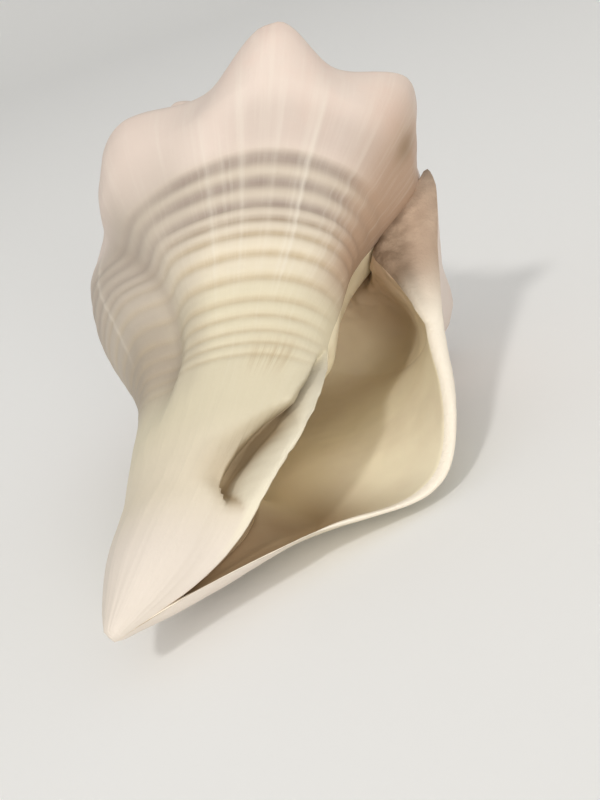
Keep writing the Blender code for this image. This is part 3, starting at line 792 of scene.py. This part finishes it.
# %% Relief tree
def relief_tree():
    tree = bpy.data.node_groups.new("shell_relief", "GeometryNodeTree")
    socket(tree, "Geometry", "NodeSocketGeometry", "INPUT")
    socket(tree, "Groove depth", "NodeSocketFloat", "INPUT", 0.0009)
    socket(tree, "Wrinkle height", "NodeSocketFloat", "INPUT", 0.00035)
    socket(tree, "Wrinkles per turn", "NodeSocketFloat", "INPUT", 46.0)
    socket(tree, "Waviness", "NodeSocketFloat", "INPUT", 0.0011)
    socket(tree, "Callus bumps", "NodeSocketFloat", "INPUT", 0.003)
    socket(tree, "Edge roughness", "NodeSocketFloat", "INPUT", 0.0016)
    socket(tree, "Seed", "NodeSocketFloat", "INPUT", 7.0)
    socket(tree, "Geometry", "NodeSocketGeometry", "OUTPUT")
    start = tree.nodes.new("NodeGroupInput")
    end = tree.nodes.new("NodeGroupOutput")
    link = tree.links.new

    def named(name):
        made = node(tree, "GeometryNodeInputNamedAttribute", data_type="FLOAT")
        made.inputs["Name"].default_value = name
        return made.outputs["Attribute"]

    def calc(operation, a, b=0.0, c=None):
        made = node(tree, "ShaderNodeMath", operation=operation)
        for place, value in enumerate((a, b) if c is None else (a, b, c)):
            if isinstance(value, (int, float)):
                made.inputs[place].default_value = value
            else:
                link(value, made.inputs[place])
        return made.outputs[0]

    # grooves: a cosine of the groove count, raised to a power so that the grooves stay narrow
    turns = calc("MULTIPLY", named("groove_count"), TURN)
    wave = calc("MULTIPLY_ADD", calc("COSINE", turns), 0.5, 0.5)
    beat = node(tree, "ShaderNodeCombineXYZ")
    link(calc("MULTIPLY", named("whorl"), 26.0), beat.inputs["X"])
    link(calc("ROUND", named("groove_count")), beat.inputs["Y"])
    link(start.outputs["Seed"], beat.inputs["Z"])
    patch_noise = node(tree, "ShaderNodeTexNoise", in_Scale=1.0, in_Detail=3.0)
    link(beat.outputs[0], patch_noise.inputs["Vector"])
    uneven = calc("MULTIPLY_ADD", patch_noise.outputs["Fac"], 1.4, 0.3)
    strength = calc("MULTIPLY", named("cord_here"), uneven)
    groove = calc("MULTIPLY", calc("POWER", wave, named("narrow")), strength)
    # growth wrinkles: noise that is long along the profile and short round the turn
    place = node(tree, "ShaderNodeCombineXYZ")
    link(calc("MULTIPLY", named("whorl"), start.outputs["Wrinkles per turn"]), place.inputs["X"])
    link(calc("MULTIPLY", named("along"), 5.0), place.inputs["Y"])
    link(start.outputs["Seed"], place.inputs["Z"])
    wrinkles = node(tree, "ShaderNodeTexNoise", in_Scale=1.0, in_Detail=3.0)
    link(place.outputs[0], wrinkles.inputs["Vector"])
    lumps = node(tree, "ShaderNodeTexNoise", in_Scale=55.0, in_Detail=2.0)
    outside_only = calc("LESS_THAN", named("layer"), 0.5)
    wrinkle = calc("SUBTRACT", wrinkles.outputs["Fac"], 0.5)
    height = calc("MULTIPLY", wrinkle, start.outputs["Wrinkle height"])
    height = calc("MULTIPLY", height, outside_only)
    height = calc("SUBTRACT", height, calc("MULTIPLY", groove, start.outputs["Groove depth"]))
    swell = calc("MULTIPLY", calc("SUBTRACT", lumps.outputs["Fac"], 0.5), start.outputs["Waviness"])
    height = calc("ADD", height, swell)
    mark_height = calc("MULTIPLY", start.outputs["Wrinkle height"], 0.8)
    height = calc("MULTIPLY_ADD", named("marks"), mark_height, height)
    bumps = node(tree, "ShaderNodeTexNoise", in_Scale=170.0, in_Detail=1.5)
    bumps_here = calc("MULTIPLY", calc("SUBTRACT", bumps.outputs["Fac"], 0.5), named("corner"))
    height = calc("MULTIPLY_ADD", bumps_here, start.outputs["Callus bumps"], height)
    crumbs = node(tree, "ShaderNodeTexNoise", in_Scale=420.0, in_Detail=2.0)
    crumbs_here = calc("MULTIPLY", calc("SUBTRACT", crumbs.outputs["Fac"], 0.5), named("edge"))
    height = calc("MULTIPLY_ADD", crumbs_here, start.outputs["Edge roughness"], height)
    push = node(tree, "ShaderNodeVectorMath", operation="SCALE")
    link(tree.nodes.new("GeometryNodeInputNormal").outputs["Normal"], push.inputs[0])
    link(height, push.inputs["Scale"])
    keep = node(tree, "GeometryNodeStoreNamedAttribute", data_type="FLOAT", domain="POINT")
    keep.inputs["Name"].default_value = "groove"
    link(start.outputs["Geometry"], keep.inputs["Geometry"])
    link(groove, keep.inputs["Value"])
    move = tree.nodes.new("GeometryNodeSetPosition")
    link(keep.outputs["Geometry"], move.inputs["Geometry"])
    link(push.outputs["Vector"], move.inputs["Offset"])
    realize = tree.nodes.new("GeometryNodeRealizeInstances")
    link(move.outputs["Geometry"], realize.inputs["Geometry"])
    last = realize.outputs["Geometry"]
    for material, low_layer, high_layer in ((outside, -1.0, 0.5), (lining, 0.5, 2.5), (rim, 2.5, 4.0)):
        paint = tree.nodes.new("GeometryNodeSetMaterial")
        paint.inputs["Material"].default_value = material
        chosen = calc("MULTIPLY", calc("GREATER_THAN", named("sheet"), low_layer),
                      calc("LESS_THAN", named("sheet"), high_layer))
        link(chosen, paint.inputs["Selection"])
        link(last, paint.inputs["Geometry"])
        last = paint.outputs["Geometry"]
    link(last, end.inputs["Geometry"])
    return tree


# %% Run the tree and keep a plain mesh
sheet_of_face = np.array([max(layer[v] for v in f) for f in faces], np.float32)
mesh.attributes.new("sheet", "FLOAT", "FACE").data.foreach_set("value", sheet_of_face)
for polygon in mesh.polygons:
    polygon.use_smooth = True
mesh.materials.append(outside)
modifier = skin_object.modifiers.new("relief", "NODES")
modifier.node_group = relief_tree()
sizes = {"Groove depth": 0.0009, "Wrinkle height": 0.0004, "Wrinkles per turn": 46.0, "Waviness": 0.0011,
         "Callus bumps": 0.003, "Edge roughness": 0.0016, "Seed": 7.0}
for item in modifier.node_group.interface.items_tree:
    if item.item_type == "SOCKET" and item.in_out == "INPUT" and item.name in sizes:
        modifier[item.identifier] = sizes[item.name]
graph = bpy.context.evaluated_depsgraph_get()
finished = bpy.data.meshes.new_from_object(skin_object.evaluated_get(graph))
finished.name = "conch"
skin_object.modifiers.clear()
conch = bpy.data.objects.new("conch", finished)
bpy.context.scene.collection.objects.link(conch)
bpy.data.objects.remove(skin_object, do_unlink=True)
spots = np.empty(len(finished.vertices) * 3)
finished.vertices.foreach_get("co", spots)
spots = np.clip(spots.reshape(-1, 3), cad_box[0], cad_box[1])
finished.vertices.foreach_set("co", spots.ravel())
finished.update()
print("conch", len(finished.vertices), "points, materials", [m.name for m in finished.materials])

# %% [markdown]
# ## Tie it to the frame
# The shell grew as one piece, so one piece rides on the root body and stands for the solid.

# %% Frame
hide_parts("shell")
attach(conch, "root")


# %% [markdown]
# ## Floor, light and camera
# A pale floor, a key from the upper left in front, a larger fill beside the camera that lights the
# mouth, and a camera at the angle of the photograph: in front of the canal and above the floor,
# looking down on the shell and into its mouth.

# %% Floor
def bowl(name, outline, segments=72):
    """A round sheet of paper: flat in the middle and curving up at its edge like a photographer's sweep."""
    corners = [(0.0, 0.0, 0.0)]
    for radius, height in outline:
        for k in range(segments):
            turn = TURN * k / segments
            corners.append((radius * math.cos(turn), radius * math.sin(turn), height))
    sides = [(0, 1 + k, 1 + (k + 1) % segments) for k in range(segments)]
    for ring in range(len(outline) - 1):
        for k in range(segments):
            a = 1 + ring * segments + k
            b = 1 + ring * segments + (k + 1) % segments
            sides.append((a, a + segments, b + segments, b))
    sheet = bpy.data.meshes.new(name)
    sheet.from_pydata(corners, [], sides)
    for polygon in sheet.polygons:
        polygon.use_smooth = True
    made = bpy.data.objects.new(name, sheet)
    bpy.context.scene.collection.objects.link(made)
    return made


sweep = [(3.0, 0.0)]
for k in range(1, 9):
    sweep.append((3.0 + 1.5 * math.sin(k * math.pi / 16), 1.5 * (1 - math.cos(k * math.pi / 16))))
sweep.append((4.5, 2.5))
floor = bowl("floor", sweep)
paper, tree, surface = new_material("pale_paper", 0.8, 0.1)
surface.inputs["Base Color"].default_value = (0.93, 0.93, 0.92, 1)
floor.data.materials.append(paper)


# %% Camera
def to_room(point):
    return Vector(axes @ np.array(point) * METRES - base)


# The camera was found by a fit of the shell's outline and marks to the photograph. Millimetres, in
# the frame of the coiling axis; the focal length is in pixels of the picture.
AIM = (15.9, -14.0, -134.2)
TOWARDS_CAMERA = (0.0615, -0.8147, -0.5767)
PICTURE_RIGHT = (0.9979, 0.0609, 0.0203)
DISTANCE = 279.9
FOCAL_PIXELS = 1063
PICTURE_HEIGHT = 800
SENSOR_HEIGHT = 24

aim = to_room(AIM)
back = Vector(axes @ np.array(TOWARDS_CAMERA)).normalized()
right = Vector(axes @ np.array(PICTURE_RIGHT))
right = (right - back * right.dot(back)).normalized()
up = back.cross(right)
lens = bpy.data.cameras.new("photo_camera")
lens.sensor_fit = "VERTICAL"
lens.sensor_height = SENSOR_HEIGHT
lens.lens = FOCAL_PIXELS * SENSOR_HEIGHT / PICTURE_HEIGHT
lens.clip_start = 0.01
eye = bpy.data.objects.new("photo_camera", lens)
bpy.context.scene.collection.objects.link(eye)
turn = Matrix((right, up, back)).transposed().to_4x4()
eye.matrix_world = Matrix.Translation(aim + back * DISTANCE * METRES) @ turn
bpy.context.scene.camera = eye
print("camera height", round(eye.location.z, 3), "m")


# %% Lights
LAMP_COLOUR = (1.0, 0.97, 0.93)
KEY_SIZE = 0.3
KEY_POWER = 20
FILL_SIZE = 1.0
FILL_POWER = 23
SKY_STRENGTH = 0.57


def soft_light(name, place, size, power, colour):
    lamp = bpy.data.lights.new(name, "AREA")
    lamp.shape = "DISK"
    lamp.size = size
    lamp.energy = power
    lamp.color = colour
    made = bpy.data.objects.new(name, lamp)
    bpy.context.scene.collection.objects.link(made)
    made.location = place
    made.rotation_euler = (aim - made.location).to_track_quat("-Z", "Y").to_euler()
    return made


soft_light("key", aim + back * 2.25 + up * 0.95 - right * 1.35, KEY_SIZE, KEY_POWER, LAMP_COLOUR)
soft_light("fill", aim + back * 2.1 - up * 0.35 + right * 0.55, FILL_SIZE, FILL_POWER, LAMP_COLOUR)
world = bpy.data.worlds.new("studio")
world.use_nodes = True
world.node_tree.nodes["Background"].inputs["Color"].default_value = (1.0, 0.99, 0.97, 1)
world.node_tree.nodes["Background"].inputs["Strength"].default_value = SKY_STRENGTH
bpy.context.scene.world = world
bpy.context.scene.view_settings.view_transform = "Standard"
print("lights", KEY_POWER, "and", FILL_POWER, "watts")
